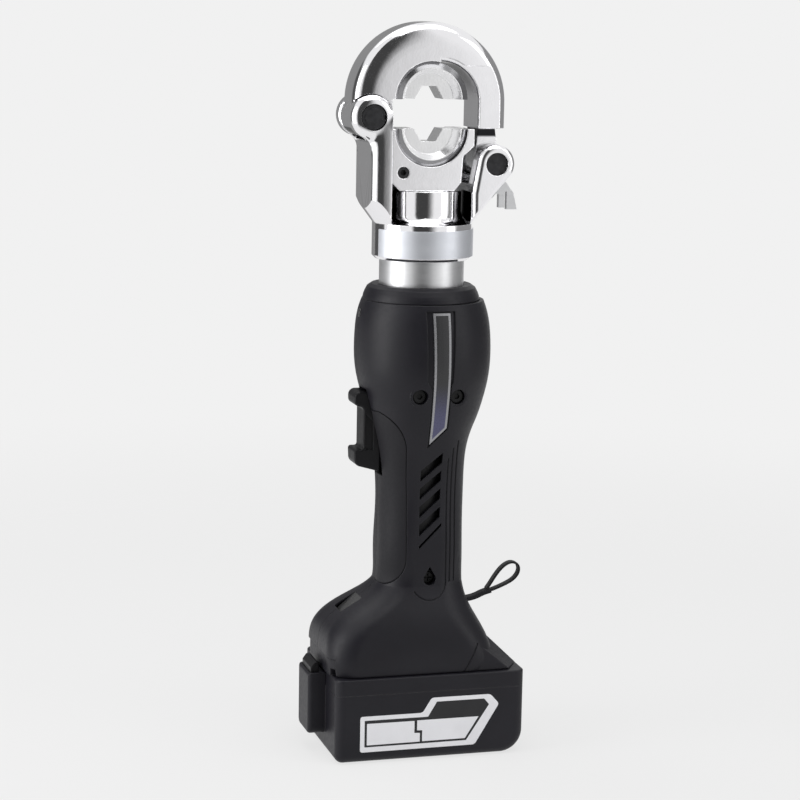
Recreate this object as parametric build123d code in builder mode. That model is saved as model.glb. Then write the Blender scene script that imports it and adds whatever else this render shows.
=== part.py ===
from build123d import *
import math
import os

# A hand held battery hydraulic cable crimper, in millimetres. Its long axis is Z and the battery's base
# is at z = 0. The trigger faces -X, and the tool's left side faces -Y.

# Battery
battery_length = 109.0
battery_width = 75.0
battery_split_z = 39.0
battery_rim_z = 48.0
battery_wall = 2.5
battery_rear_radius = 13.0
battery_front_radius = 4.5
deck_stem_half = 23.8
deck_half = 28.4
deck_step_z = 52.0
deck_top_z = 57.2
deck_inset = 0.5
deck_rear_x = 29.0
cell_radius = 9.1
cell_length = 65.0
cell_pitch = 18.6
panel_depth = 10.1
panel_half = 12.4
panel_low_z = 10.5
panel_high_z = 46.0

# Housing: height, front x, back x, half width and corner radius of each section
wall = 2.3
skin = 1.0
foot_bottom_z = 48.4
foot_sections = [
    (foot_bottom_z, -56.4, 39.0, 34.8, 16.0),
    (64.0, -56.2, 37.1, 34.2, 16.0),
    (73.0, -52.4, 33.0, 32.0, 18.0),
    (84.0, -38.0, 27.5, 27.0, 18.0),
    (95.0, -23.9, 25.2, 21.5, 17.0),
]
grip_sections = [
    (95.0, -23.9, 25.2, 21.5, 17.0),
    (105.0, -23.5, 25.2, 20.8, 17.0),
    (130.0, -23.2, 25.0, 20.4, 17.0),
    (156.0, -23.4, 25.2, 21.0, 17.5),
    (168.0, -24.6, 25.6, 23.2, 19.0),
    (178.0, -26.5, 27.6, 26.2, 22.5),
    (190.0, -29.5, 32.3, 30.6, 28.0),
    (204.0, -33.2, 36.8, 34.6, 33.6),
    (217.0, -36.0, 38.9, 37.0, 36.0),
    (229.0, -36.6, 39.2, 37.5, 36.6),
    (241.0, -36.0, 38.3, 36.8, 36.0),
    (249.0, -34.6, 36.6, 35.4, 34.6),
    (254.5, -32.7, 34.7, 33.7, 33.0),
]
housing_top_z = 254.5
mouth_radius = 29.8
ramp_top_z = 63.0
rail_low_y = 24.4
rail_high_y = 33.6
lip_top_z = 51.4
seat_screw_spots = [(-8.7, 204.4), (12.4, 204.1)]
seat_floor = 29.1
grip_screw_x = 2.3
grip_screw_z = 99.1
well_floor = 14.5
vent_count = 4
vent_pitch = 10.4
vent_first_z = 158.0

# Trigger
trigger_half = 8.0
trigger_wall = 2.2
trigger_gap = 0.4
trigger_top_z = 204.0
trigger_low_z = 158.8
trigger_face_x = -33.9

# Neck, ram and swivel
neck_radius = 23.5
neck_low_z = 226.0
neck_top_z = 277.0
spigot_radius = 21.5
spigot_top_z = 294.0
ram_radius = 17.4
ram_low_z = 240.0
running_gap = 0.06

# Crimping head
head_radius = 27.8
head_low_z = 277.15
head_bore_top_z = 294.2
pocket_floor_z = 297.0
pocket_half = 22.2
collar_radius = 21.1
collar_flare = 6.4
base_edge = 1.6
head_half = 21.5
slot_half = 10.3
pillar_x = -33.8
hinge_x = -34.0
hinge_z = 355.0
hinge_lobe = 11.8
hinge_pin_radius = 5.0
latch_x = 35.7
latch_z = 330.0
latch_lobe = 10.6
latch_pin_radius = 6.2
latch_flat = 7.6
throat_width = 8.8
cone_rise = 0.75
pillar_edge = 5.6
ear_edge = 3.2

# Jaw and dies
jaw_radius = 43.3
jaw_centre_z = 362.7
jaw_half = 15.0
knuckle_half = 10.0
leg_x = 26.5
leg_low_z = 349.0
leg_step_z = 382.7
upper_parting_z = 364.5
lower_parting_z = 348.5
saddle_low_z = 315.2
die_radius = 20.4
die_gap = 0.1
hex_flats = 14.0

# Drive
gear_module = 0.65
sun_teeth = 12
planet_teeth = 18
ring_teeth = 48
planet_orbit = gear_module * (sun_teeth + planet_teeth) / 2
planet_angles = [90, 210, 330]
gear_low_z = 165.0
gear_high_z = 175.0
eccentricity = 1.4
pump_axis_z = 195.0
motor_radius = 17.4
gear_case_radius = 18.3
motor_low_z = 109.0
motor_high_z = 156.0

os.makedirs("parts", exist_ok=True)


def write(piece, name):
    piece.part.label = name
    export_step(piece.part, f"parts/{name}.step")


def turned(points):
    """A solid turned about the long axis, from (radius, height) points."""
    with BuildPart() as piece:
        with BuildSketch(Plane.XZ):
            Polygon(*points)
        revolve(axis=Axis.Z)
    return piece


def ring(inner, outer, low, high):
    return turned([(inner, low), (outer, low), (outer, high), (inner, high)])


def box(x0, x1, y0, y1, z0, z1):
    """A plain block between two corners."""
    with BuildPart() as piece:
        with BuildSketch(Plane.XY.offset(z0)):
            with Locations(((x0 + x1) / 2, (y0 + y1) / 2)):
                Rectangle(x1 - x0, y1 - y0)
        extrude(amount=z1 - z0)
    return piece


def across(x, z, radius, near, far):
    """A round bar along Y through (x, z), between two values of y."""
    with BuildPart() as piece:
        with BuildSketch(Plane.XZ.offset(-far)):
            with Locations((x, z)):
                Circle(radius)
        extrude(amount=far - near)
    return piece


def spring(x, low, high, radius, wire, turns):
    """An open upright coil at x, between two heights."""
    pitch = (high - low - wire) / turns
    with BuildPart() as piece:
        with BuildLine() as path:
            Helix(pitch=pitch, height=pitch * turns, radius=radius, center=(x, 0, low + wire / 2))
        with BuildSketch(path.line ^ 0):
            Circle(wire / 2)
        sweep(path=path.line, is_frenet=True)
    return piece


def lofted(sections, inset):
    """A smooth body through rounded sections, each drawn in by the inset."""
    with BuildPart() as piece:
        for z, front, back, half, corner in sections:
            with BuildSketch(Plane.XY.offset(z)):
                with Locations(((front + back) / 2, 0)):
                    RectangleRounded(back - front - 2 * inset, 2 * (half - inset), corner - inset)
        loft()
    return piece


# Housing forms shared by the two shells, the grip pads and the name plate
grip_form = lofted(grip_sections, 0)
grip_skin_form = lofted(grip_sections, skin)
grip_cavity = lofted(grip_sections, wall)
foot_form = lofted(foot_sections, 0)
foot_cavity = lofted(foot_sections, wall)

# The foot's rear ramp, whose flanks draw in from the side walls to a narrow tail
with BuildPart() as ramp:
    with BuildSketch(Plane.XY.offset(foot_bottom_z)):
        Polygon((12, -34.5), (19.5, -34.5), (46.0, -33.8), (53.6, -21),
                (53.6, 21), (46.0, 33.8), (19.5, 34.5), (12, 34.5))
    with BuildSketch(Plane.XY.offset(ramp_top_z)):
        Polygon((12, -33.2), (27.0, -33.0), (28.0, -32.6), (38.4, -18),
                (38.4, 18), (28.0, 32.6), (27.0, 33.0), (12, 33.2))
    loft(ruled=True)


def pad_block(inset):
    """The front grip pad's side outline, drawn in by the inset and carried through the whole width."""
    with BuildPart() as piece:
        with BuildSketch(Plane.XZ):
            with BuildLine():
                Polyline((-13.0, 174.0), (-11.3, 144.0), (-11.3, 110.0))
                ThreePointArc((-11.3, 110.0), (-14.0, 101.5), (-22.0, 95.4))
                Polyline((-22.0, 95.4), (-45.0, 95.4), (-45.0, 194.0), (-27.0, 194.0))
                ThreePointArc((-27.0, 194.0), (-18.6, 187.0), (-13.0, 174.0))
            make_face()
            if inset > 0:
                offset(amount=-inset)
        extrude(amount=60, both=True)
    return piece


# The name plate's side outline, and its bed, which is wider beside the plate's upper half
plate_outline = [(-3.0, 250.5), (6.7, 250.5), (7.7, 186.1), (-1.0, 176.6)]
with BuildPart() as plate_prism:
    with BuildSketch(Plane.XZ):
        Polygon(*plate_outline)
    extrude(amount=60)

with BuildPart() as plate_bed:
    with BuildSketch(Plane.XZ):
        Polygon(*plate_outline)
        offset(amount=0.9, kind=Kind.INTERSECTION)
        Polygon((-6.6, 251.4), (9.6, 251.4), (9.0, 213.0), (7.6, 209.0), (-3.0, 209.0), (-5.6, 213.0))
    extrude(amount=60)

# Shallow lines on the sides: one round the foot of the side panel, two along the grip's back and one that
# parts the rear ramp from the foot
line_depth = 0.5
with BuildPart() as grip_lines:
    with BuildSketch(Plane.XZ):
        with BuildLine():
            Line((11.2, 168.0), (11.5, 99.0))
            ThreePointArc((11.5, 99.0), (1.6, 87.8), (-7.0, 92.7))
        trace(line_width=0.7)
        with BuildLine():
            Line((13.8, 174.0), (13.9, 97.0))
        trace(line_width=0.8)
        with BuildLine():
            Line((16.6, 178.0), (16.8, 97.0))
        trace(line_width=0.8)
        with BuildLine():
            Line((19.2, 47.5), (27.4, 63.9))
        trace(line_width=0.9)
    extrude(amount=60, both=True)
    add(lofted(grip_sections, line_depth).part, mode=Mode.SUBTRACT)
    add(lofted(foot_sections, line_depth).part, mode=Mode.SUBTRACT)

trigger_cut = box(-60, -18, -trigger_half - trigger_gap, trigger_half + trigger_gap,
                  trigger_low_z - 2.2, trigger_top_z + 1.5)

with BuildPart() as name_plate:
    add(plate_prism.part)
    add(grip_form.part, mode=Mode.INTERSECT)
    add(grip_skin_form.part, mode=Mode.SUBTRACT)
write(name_plate, "name_plate")

pad_gap = 0.35
with BuildPart() as grip_pads:
    add(pad_block(pad_gap).part)
    add(grip_form.part, mode=Mode.INTERSECT)
    add(grip_skin_form.part, mode=Mode.SUBTRACT)
    add(trigger_cut.part, mode=Mode.SUBTRACT)

with BuildPart() as vents:
    with BuildSketch(Plane.XZ):
        for row in range(vent_count):
            low = vent_first_z - row * vent_pitch
            Polygon((-4.3, low - 3.2), (7.6, low + 7.4), (7.6, low + 13.4), (-4.3, low + 3.2))
        Polygon((-4.3, 116.4), (8.6, 129.2), (8.6, 131.0), (-4.3, 118.2))
    extrude(amount=60, both=True)

# The slope that carries the indicator window
slope_plane = Plane(origin=(-39.2, 0, 83.0), x_dir=(0, 1, 0), z_dir=(-0.632, 0, 0.775))
indicator_size = (15.0, 14.0)
indicator_depth = 1.0


def shell(side, keep):
    """One half of the clamshell housing, with its bosses, rails and openings."""
    with BuildPart() as rail:
        add(box(-50, 29.5, *sorted((side * rail_low_y, side * rail_high_y)), foot_bottom_z, lip_top_z).part)
        add(foot_form.part, mode=Mode.INTERSECT)
    with BuildPart() as half:
        add(grip_form.part)
        add(foot_form.part)
        add(ramp.part)
        add(grip_cavity.part, mode=Mode.SUBTRACT)
        add(foot_cavity.part, mode=Mode.SUBTRACT)
        add(ring(0, mouth_radius, housing_top_z - 6, housing_top_z + 5).part, mode=Mode.SUBTRACT)
        add(pad_seat_cut.part, mode=Mode.SUBTRACT)
        add(plate_bed_cut.part, mode=Mode.SUBTRACT)
        add(grip_lines.part, mode=Mode.SUBTRACT)
        # The rail that the battery's deck slides over, and the way out at the front
        add(rail.part)
        add(box(-70, -46, -deck_half - 0.5, deck_half + 0.5, foot_bottom_z - 1, deck_top_z + 0.5).part,
            mode=Mode.SUBTRACT)
        # Bosses behind the screws
        for x, z in seat_screw_spots:
            add(across(x, z, 5.6, *sorted((side * (seat_floor - 1.1), side * 32.6))).part)
        add(across(grip_screw_x, grip_screw_z, 4.2, *sorted((side * 0.2, side * 20))).part)
        add(trigger_cut.part, mode=Mode.SUBTRACT)
        add(vents.part, mode=Mode.SUBTRACT)
        for x, z in seat_screw_spots:
            add(across(x, z, 4.2, *sorted((side * seat_floor, side * 50))).part, mode=Mode.SUBTRACT)
            add(across(x, z, 2.1, *sorted((side * 20, side * 50))).part, mode=Mode.SUBTRACT)
        add(across(grip_screw_x, grip_screw_z, 1.6, -50, 14).part, mode=Mode.SUBTRACT)
        add(work_light_hole.part, mode=Mode.SUBTRACT)
        add(indicator_cut.part, mode=Mode.SUBTRACT)
        add(strap_slot.part, mode=Mode.SUBTRACT)
        if side < 0:
            add(screw_well.part, mode=Mode.SUBTRACT)
        split(bisect_by=Plane.XZ, keep=keep)
    return half


with BuildPart() as pad_seat_cut:
    add(pad_block(0).part)
    add(grip_skin_form.part, mode=Mode.SUBTRACT)

with BuildPart() as plate_bed_cut:
    add(plate_bed.part)
    add(grip_skin_form.part, mode=Mode.SUBTRACT)

# A teardrop well over the grip screw's head
with BuildPart() as screw_well:
    with BuildSketch(Plane.XZ.offset(well_floor)):
        with Locations((grip_screw_x, grip_screw_z)):
            Circle(3.6)
            Polygon((-3.3, 1.4), (3.3, 1.4), (0, 7.0))
    extrude(amount=20)

with BuildPart() as work_light_hole:
    with BuildSketch(Plane.YZ.offset(-40)):
        with Locations((0, 247)):
            Circle(2.5)
    extrude(amount=10)

with BuildPart() as indicator_cut:
    with BuildSketch(slope_plane.offset(-4)):
        RectangleRounded(*indicator_size, 1.2)
    extrude(amount=8)

with BuildPart() as indicator_lens:
    with BuildSketch(slope_plane.offset(-4)):
        RectangleRounded(*indicator_size, 1.2)
    extrude(amount=4 - indicator_depth)
write(indicator_lens, "indicator_lens")

strap_slot = box(20, 36, -2.7, 2.7, 79.6, 82.6)

housing_left = shell(-1, Keep.TOP)
write(housing_left, "housing_left")
housing_right = shell(1, Keep.BOTTOM)
write(housing_right, "housing_right")

with BuildPart() as grip_pad_left:
    add(grip_pads.part)
    split(bisect_by=Plane.XZ, keep=Keep.TOP)
write(grip_pad_left, "grip_pad_left")

with BuildPart() as grip_pad_right:
    add(grip_pads.part)
    split(bisect_by=Plane.XZ, keep=Keep.BOTTOM)
write(grip_pad_right, "grip_pad_right")

nose_collar = turned([(neck_radius + 0.1, 249.5), (29.6, 249.5), (29.6, 254.7), (32.6, 254.7), (32.1, 257.0),
                      (31.5, 258.6), (30.1, 261.3), (27.8, 262.9), (neck_radius + 0.1, 262.9)])
write(nose_collar, "nose_collar")

with BuildPart() as work_light_lens:
    with BuildSketch(Plane.YZ.offset(-31.2)):
        with Locations((0, 247)):
            Circle(2.5)
    extrude(amount=-4.6)
    fillet(work_light_lens.edges().sort_by(Axis.X)[0], 1.0)
write(work_light_lens, "work_light_lens")

# Four short screws that hold the shells to the pump body, and the long screw through the grip's foot
with BuildPart() as pump_screws:
    for side in (-1, 1):
        for x, z in seat_screw_spots:
            add(across(x, z, 3.5, *sorted((side * seat_floor, side * (seat_floor + 1.9)))).part)
            add(across(x, z, 1.9, *sorted((side * 21, side * seat_floor))).part)
            with BuildSketch(Plane.XZ.offset(-side * (seat_floor + 1.9))):
                with Locations((x, z)):
                    RegularPolygon(1.7, 6)
            extrude(amount=side * 1.2, mode=Mode.SUBTRACT)
write(pump_screws, "pump_screws")

with BuildPart() as grip_screw:
    add(across(grip_screw_x, grip_screw_z, 3.0, -well_floor - 2.1, -well_floor).part)
    add(across(grip_screw_x, grip_screw_z, 1.5, -well_floor, 13).part)
    with BuildSketch(Plane.XZ.offset(well_floor + 2.1)):
        with Locations((grip_screw_x, grip_screw_z)):
            Rectangle(4.2, 0.8)
            Rectangle(0.8, 4.2)
    extrude(amount=-1.2, mode=Mode.SUBTRACT)
write(grip_screw, "grip_screw")

# Trigger: a hollow finger piece with a knob over its straight face, a hook under it and a pocket in each side
trigger_corners = [
    ((-39.2, trigger_top_z), 3.6),
    ((-39.0, 196.3), 2.8),
    ((trigger_face_x, 195.2), 2.4),
    ((trigger_face_x, 171.7), 1.4),
    ((-38.9, 171.7), 1.6),
    ((-38.5, 162.7), 4.0),
]
with BuildPart() as trigger:
    with BuildSketch(Plane.XZ) as trigger_side:
        Polygon((-27.5, trigger_top_z), *[corner for corner, radius in trigger_corners],
                (-24.5, trigger_low_z), (-24.5, 183.0), (-27.5, 186.0))
        for corner, radius in trigger_corners:
            fillet(trigger_side.vertices().sort_by_distance((*corner, 0))[0], radius)
    extrude(amount=trigger_half, both=True)
    side_edges = trigger.faces().filter_by(Axis.Y).edges()
    fillet(side_edges.filter_by(lambda edge: edge.center().X < -28), 1.2)
    add(box(-31.4, -20, -trigger_half + trigger_wall, trigger_half - trigger_wall,
            trigger_low_z + 3.4, trigger_top_z - 2.4).part, mode=Mode.SUBTRACT)
    for side in (-1, 1):
        with BuildSketch(Plane.XZ.offset(side * (trigger_half + 1))):
            Polygon((-32.6, 191.4), (-28.2, 187.6), (-28.2, 171.2), (-32.6, 171.2))
        extrude(amount=-side * 2.3, mode=Mode.SUBTRACT)
write(trigger, "trigger")

with BuildPart() as trigger_switch:
    add(box(-25.6, -20.4, -3.2, 3.2, 170, 186.6).part)
    with BuildSketch(Plane.YZ.offset(-26.1)):
        with Locations((0, 177)):
            Circle(1.0)
    extrude(amount=1.5)
write(trigger_switch, "trigger_switch")

# Control electronics in the foot
with BuildPart() as control_board:
    add(box(-42, 14, -22, 22, 69.5, 71.1).part)
    add(box(-10, 2, -12, -4, 71.1, 76).part)
    add(box(4, 12, -14, 4, 71.1, 74.5).part)
    with BuildSketch(Plane.XY.offset(71.1)):
        with Locations((-22, 8), (-22, -10)):
            Circle(5)
    extrude(amount=9)
write(control_board, "control_board")

terminal_block = box(2, 28.4, -20, 20, 58, 64)
write(terminal_block, "terminal_block")

blade_spots = (-12, 0, 12)
with BuildPart() as terminal_blades:
    for y in blade_spots:
        add(box(6, 22, y - 0.5, y + 0.5, 50.5, 58).part)
write(terminal_blades, "terminal_blades")

# Motor
with BuildPart() as motor_can:
    add(turned([(motor_radius - 1.6, motor_low_z), (motor_radius, motor_low_z), (motor_radius, motor_high_z),
                (6.5, motor_high_z), (6.5, motor_high_z + 2.6), (1.7, motor_high_z + 2.6),
                (1.7, motor_high_z - 1.6), (motor_radius - 1.6, motor_high_z - 1.6)]).part)
write(motor_can, "motor_can")

motor_endcap = turned([(1.7, 104.5), (7, 104.5), (7, 106), (motor_radius, 106), (motor_radius, motor_low_z),
                       (1.7, motor_low_z)])
write(motor_endcap, "motor_endcap")

with BuildPart() as motor_magnets:
    add(ring(14.0, motor_radius - 1.6, 116, 149).part)
    add(box(-30, 30, -4, 4, 100, 160).part, mode=Mode.SUBTRACT)
write(motor_magnets, "motor_magnets")

with BuildPart() as motor_shaft:
    add(ring(0, 1.65, 104.0, 176.0).part)
write(motor_shaft, "motor_shaft")

with BuildPart() as armature:
    add(turned([(1.65, 109.6), (4.6, 109.6), (4.6, 113), (9, 113), (11.5, 117), (13.4, 117), (13.4, 147),
                (11.5, 147), (8.5, 151), (1.65, 151)]).part)
    with BuildSketch(Plane.XY.offset(116.9)):
        with PolarLocations(12.6, 5):
            Rectangle(3.0, 1.8)
    extrude(amount=30.2, mode=Mode.SUBTRACT)
write(armature, "armature")


# Planetary gears with stub teeth, whose half widths are given at the root, the pitch line and the tip
tooth_root = 0.79 * gear_module
tooth_pitch = 0.57 * gear_module
tooth_tip = 0.34 * gear_module


def gear(teeth, bore, low, high, turn):
    """A spur gear about the origin, with a tooth centred on the turn angle."""
    pitch = gear_module * teeth / 2
    root = pitch - 0.85 * gear_module
    tip = pitch + 0.6 * gear_module
    with BuildPart() as piece:
        with BuildSketch(Plane.XY.offset(low)):
            Circle(root)
            with PolarLocations(0, teeth, turn):
                Polygon((root - 0.3, -tooth_root), (pitch, -tooth_pitch), (tip, -tooth_tip),
                        (tip, tooth_tip), (pitch, tooth_pitch), (root - 0.3, tooth_root))
            Circle(bore, mode=Mode.SUBTRACT)
        extrude(amount=high - low)
    return piece


sun_gear = gear(sun_teeth, 1.65, 163.0, gear_high_z + 0.8, 0)
write(sun_gear, "sun_gear")

for number, angle in enumerate(planet_angles, start=1):
    planet = gear(planet_teeth, 2.06, gear_low_z, gear_high_z, angle + 180 + 180 / planet_teeth)
    centre = (planet_orbit * math.cos(math.radians(angle)), planet_orbit * math.sin(math.radians(angle)))
    with BuildPart() as planet_gear:
        with Locations((*centre, 0)):
            add(planet.part)
    write(planet_gear, f"planet_gear_{number}")

ring_pitch = gear_module * ring_teeth / 2
ring_root = ring_pitch + 0.85 * gear_module
ring_tip = ring_pitch - 0.6 * gear_module
with BuildPart() as gear_case:
    add(turned([(6.6, 156.2), (gear_case_radius, 156.2), (gear_case_radius, 187), (11, 187), (11, 180.6),
                (ring_root, 180.6), (ring_root, 161), (6.6, 161)]).part)
    with BuildSketch(Plane.XY.offset(164)):
        with PolarLocations(0, ring_teeth):
            Polygon((ring_root + 0.3, -tooth_root), (ring_pitch, -tooth_pitch), (ring_tip, -tooth_tip),
                    (ring_tip, tooth_tip), (ring_pitch, tooth_pitch), (ring_root + 0.3, tooth_root))
    extrude(amount=12)
write(gear_case, "gear_case")

with BuildPart() as planet_carrier:
    add(ring(0, 14.5, 176.5, 180.0).part)
    add(ring(0, 5.0, 180.0, 189.4).part)
    with BuildSketch(Plane.XY.offset(164.6)):
        with PolarLocations(planet_orbit, 3, planet_angles[0]):
            Circle(2.0)
    extrude(amount=12.2)
    with BuildSketch(Plane.XY.offset(189.4)):
        with Locations((eccentricity, 0)):
            Circle(6.0)
    extrude(amount=11.2)
    with BuildSketch(Plane.XY.offset(200.6)):
        Circle(4.0)
    extrude(amount=6.6)
write(planet_carrier, "planet_carrier")

main_bearing = ring(5.05, 11.0, 180.8, 186.8)
write(main_bearing, "main_bearing")

with BuildPart() as eccentric_bearing:
    with BuildSketch(Plane.XY.offset(pump_axis_z - 5)):
        with Locations((eccentricity, 0)):
            Circle(8.5)
            Circle(6.0, mode=Mode.SUBTRACT)
    extrude(amount=10)
write(eccentric_bearing, "eccentric_bearing")

# Pump body, with the neck's socket above and the eccentric's chamber below
with BuildPart() as pump_body:
    add(turned([(13, 187.2), (21.5, 187.2), (21.5, 200), (27.6, 200), (27.6, 210), (27, 210), (27, 246),
                (29.2, 246), (29.2, 249.3), (neck_radius, 249.3), (neck_radius, neck_low_z), (0, neck_low_z),
                (0, 209), (4.06, 209), (4.06, 203), (13, 203)]).part)
    with BuildSketch(Plane.YZ.offset(12)):
        with Locations((0, pump_axis_z)):
            Circle(8.0)
    extrude(amount=15)
    add(ring(0, 13, 187.2, 203).part, mode=Mode.SUBTRACT)
    with BuildSketch(Plane.YZ.offset(10)):
        with Locations((0, pump_axis_z)):
            Circle(3.5)
    extrude(amount=14, mode=Mode.SUBTRACT)
    add(box(-40, -21.3, -9.4, 9.4, 199, 205.8).part, mode=Mode.SUBTRACT)
    for x, z in seat_screw_spots:
        add(across(x, z, 1.9, -40, -20).part, mode=Mode.SUBTRACT)
        add(across(x, z, 1.9, 20, 40).part, mode=Mode.SUBTRACT)
write(pump_body, "pump_body")

with BuildPart() as pump_plunger:
    with BuildSketch(Plane.YZ.offset(8.5 + eccentricity + 0.3)):
        with Locations((0, pump_axis_z)):
            Circle(3.5)
    extrude(amount=11)
write(pump_plunger, "pump_plunger")

oil_bladder = turned([(27.2, 210.3), (30.0, 210.3), (31.8, 214), (32.6, 222), (32.6, 234), (31.8, 242),
                      (30.0, 245.7), (27.2, 245.7)])
write(oil_bladder, "oil_bladder")

# Neck cylinder: the ram's bore, the head's swivel spigot and its ring groove
neck_cylinder = turned([(0, neck_low_z), (neck_radius, neck_low_z), (neck_radius, neck_top_z),
                        (spigot_radius, neck_top_z), (spigot_radius, 284), (20, 284), (20, 287),
                        (spigot_radius, 287), (spigot_radius, spigot_top_z),
                        (ram_radius + running_gap, spigot_top_z), (ram_radius + running_gap, 236), (4.2, 236),
                        (4.2, 228), (0, 228)])
write(neck_cylinder, "neck_cylinder")

swivel_ring = ring(20, 22.7, 284.3, 286.7)
write(swivel_ring, "swivel_ring")

spring_rod = turned([(0, 228), (4.2, 228), (4.2, 288), (8.4, 288), (8.4, 292), (0, 292)])
write(spring_rod, "spring_rod")

return_spring = spring(0, 247.1, 288, 6.5, 2.2, 9)
write(return_spring, "return_spring")

# Ram, its saddle and the lower die
ram_piston = turned([(4.26, ram_low_z), (ram_radius, ram_low_z), (ram_radius, 250), (15.4, 250), (15.4, 254),
                     (ram_radius, 254), (ram_radius, saddle_low_z), (0, saddle_low_z), (0, 309), (9.5, 309),
                     (9.5, 247), (4.26, 247)])
write(ram_piston, "ram_piston")

piston_seal = ring(15.4, ram_radius, 250, 254)
write(piston_seal, "piston_seal")

die_screw_x = -15.5
die_screw_z = 325.0
with BuildPart() as ram_saddle:
    with BuildSketch(Plane.XZ):
        Polygon((-17.5, saddle_low_z), (13.5, saddle_low_z), (17.2, 319.5), (18.2, 334), (24.3, 339.5),
                (24.3, lower_parting_z), (-21.9, lower_parting_z), (-21.9, 319.5))
        with Locations((0, lower_parting_z)):
            Circle(die_radius + die_gap, mode=Mode.SUBTRACT)
    extrude(amount=jaw_half, both=True)
    add(across(die_screw_x, die_screw_z, 3.3, -20, -4).part, mode=Mode.SUBTRACT)
write(ram_saddle, "ram_saddle")

with BuildPart() as lower_die_screw:
    add(across(die_screw_x, die_screw_z, 3.3, -jaw_half + 0.4, -4).part)
    with BuildSketch(Plane.XZ.offset(jaw_half)):
        with Locations((die_screw_x, die_screw_z)):
            RegularPolygon(1.8, 6)
    extrude(amount=-3, mode=Mode.SUBTRACT)
write(lower_die_screw, "lower_die_screw")


def die(parting_z, keep):
    """A half-round die with a hexagon nest, dished faces and a sloping rim."""
    with BuildPart() as piece:
        with BuildSketch(Plane.XY.offset(parting_z)):
            Polygon((0, -8.0), (13.8, -8.0), (16.4, -jaw_half), (16.9, -jaw_half),
                    (die_radius, -jaw_half + 2.0), (die_radius, jaw_half - 2.0),
                    (16.9, jaw_half), (16.4, jaw_half), (13.8, 8.0), (0, 8.0))
        revolve(axis=Axis((0, 0, parting_z), (0, 1, 0)))
        with BuildSketch(Plane.XZ):
            with Locations((0, parting_z)):
                RegularPolygon(hex_flats / math.sqrt(3), 6)
        extrude(amount=jaw_half, both=True, mode=Mode.SUBTRACT)
        split(bisect_by=Plane.XY.offset(parting_z), keep=keep)
    return piece


lower_die = die(lower_parting_z, Keep.BOTTOM)
write(lower_die, "lower_die")
upper_die = die(upper_parting_z, Keep.TOP)
write(upper_die, "upper_die")


def tangent_point(start, centre, radius, side):
    """Where a line from a start point touches a circle, on its left (1) or right (-1)."""
    dx = centre[0] - start[0]
    dz = centre[1] - start[1]
    reach = math.sqrt(dx**2 + dz**2 - radius**2)
    bearing = math.atan2(dz, dx) + side * math.atan2(radius, reach)
    return (start[0] + reach * math.cos(bearing), start[1] + reach * math.sin(bearing))


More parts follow.
